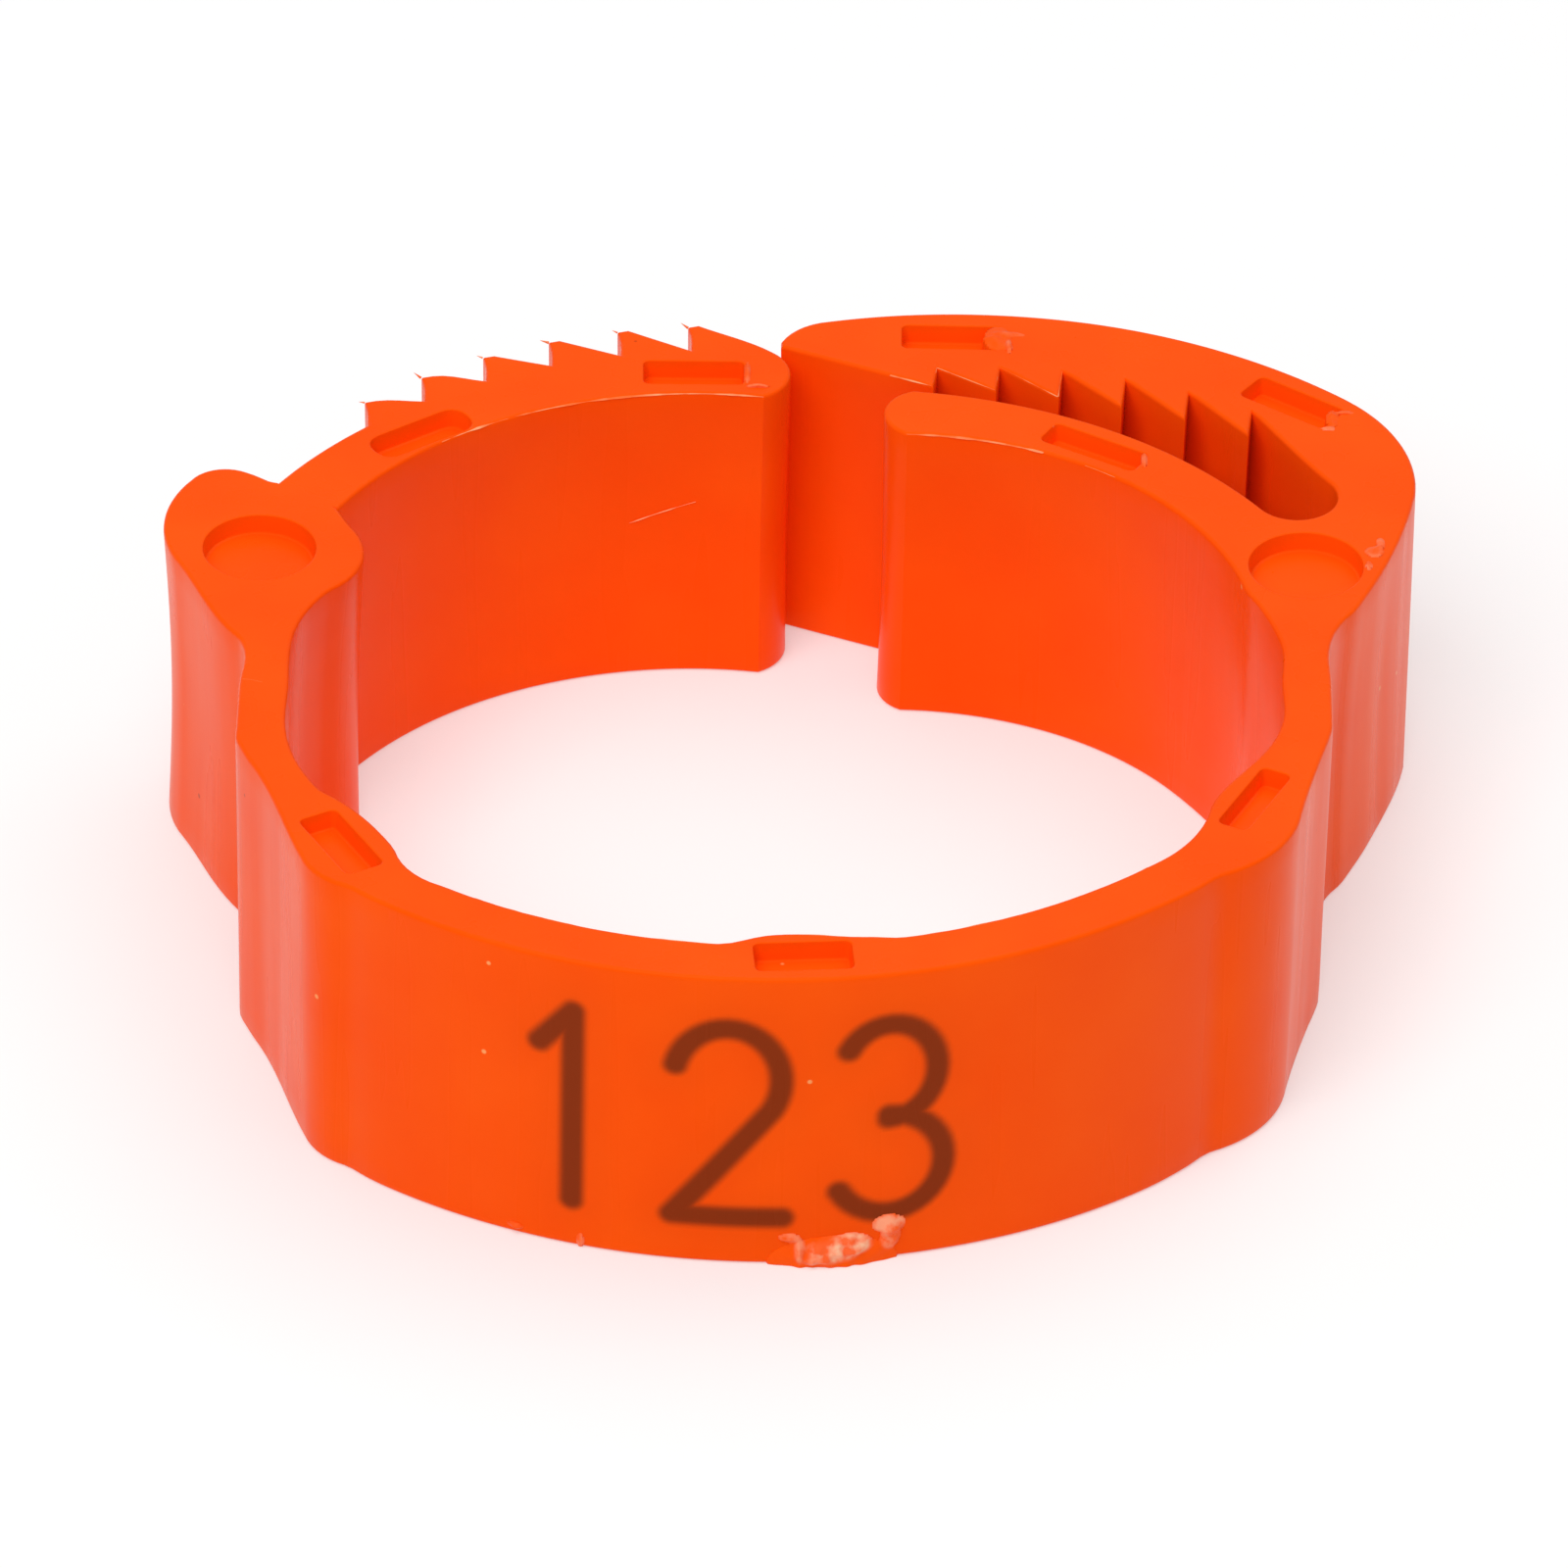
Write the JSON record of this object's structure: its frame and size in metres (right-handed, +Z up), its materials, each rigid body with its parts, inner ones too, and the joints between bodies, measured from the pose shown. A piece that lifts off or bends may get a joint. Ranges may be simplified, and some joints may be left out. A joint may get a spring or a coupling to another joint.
{
  "type": "poultry leg band",
  "caption": "Adjustable numbered leg band for poultry: a springy plastic ring that closes with a toothed tongue in a toothed jaw.",
  "frame": {"origin": "on the axis of the leg opening, at the lower face", "axes": "+Z up along the bird's leg, +X towards the jaw side, +Y towards the clasp; the number panel faces -Y"},
  "size_m": [0.0307, 0.0286, 0.0084],
  "materials": {
    "orange_pp": "satin moulded polypropylene, coloured through"
  },
  "bodies": {
    "panel": {"number_panel": "orange_pp", "gate_stub": "orange_pp"},
    "left_web": {"left_hinge_web": "orange_pp"},
    "tongue_arm": {"finger_lug": "orange_pp", "toothed_tongue": "orange_pp"},
    "right_web": {"right_hinge_web": "orange_pp"},
    "jaw": {"jaw_shoulder": "orange_pp"},
    "hook": {"hook_arm": "orange_pp"},
    "lip": {"inner_lip": "orange_pp"}
  },
  "joints": [
    {"name": "right_spread", "type": "hinge", "parent": "panel", "child": "right_web", "pos_m": [0.01263, -0.0017, 0], "axis": [0, 0, -1], "range_deg": [0, 25], "stiffness_Nm_per_rad": 0.005},
    {"name": "left_spread", "type": "hinge", "parent": "panel", "child": "left_web", "pos_m": [-0.01263, -0.0029, 0], "axis": [0, 0, 1], "range_deg": [0, 25], "stiffness_Nm_per_rad": 0.005},
    {"name": "right_close", "type": "hinge", "parent": "right_web", "child": "jaw", "pos_m": [0.01263, 0.001, 0], "axis": [0, 0, 1], "range_deg": [0, 16], "stiffness_Nm_per_rad": 0.005},
    {"name": "left_close", "type": "hinge", "parent": "left_web", "child": "tongue_arm", "pos_m": [-0.01263, 0.0001, 0], "axis": [0, 0, -1], "range_deg": [0, 16], "stiffness_Nm_per_rad": 0.005},
    {"name": "hook_flex", "type": "hinge", "parent": "jaw", "child": "hook", "pos_m": [0.0143, 0.0089, 0], "axis": [0, 0, -1], "range_deg": [0, 16], "stiffness_Nm_per_rad": 0.005},
    {"name": "lip_flex", "type": "hinge", "parent": "jaw", "child": "lip", "pos_m": [0.00974, 0.00779, 0], "axis": [0, 0, 1], "range_deg": [0, 16], "stiffness_Nm_per_rad": 0.005}
  ],
  "couplings": [
    {"joint": "left_spread", "follows": "right_spread", "ratio": 1},
    {"joint": "left_close", "follows": "right_close", "ratio": 1},
    {"joint": "hook_flex", "follows": "right_close", "ratio": 1},
    {"joint": "lip_flex", "follows": "right_close", "ratio": 1}
  ]
}
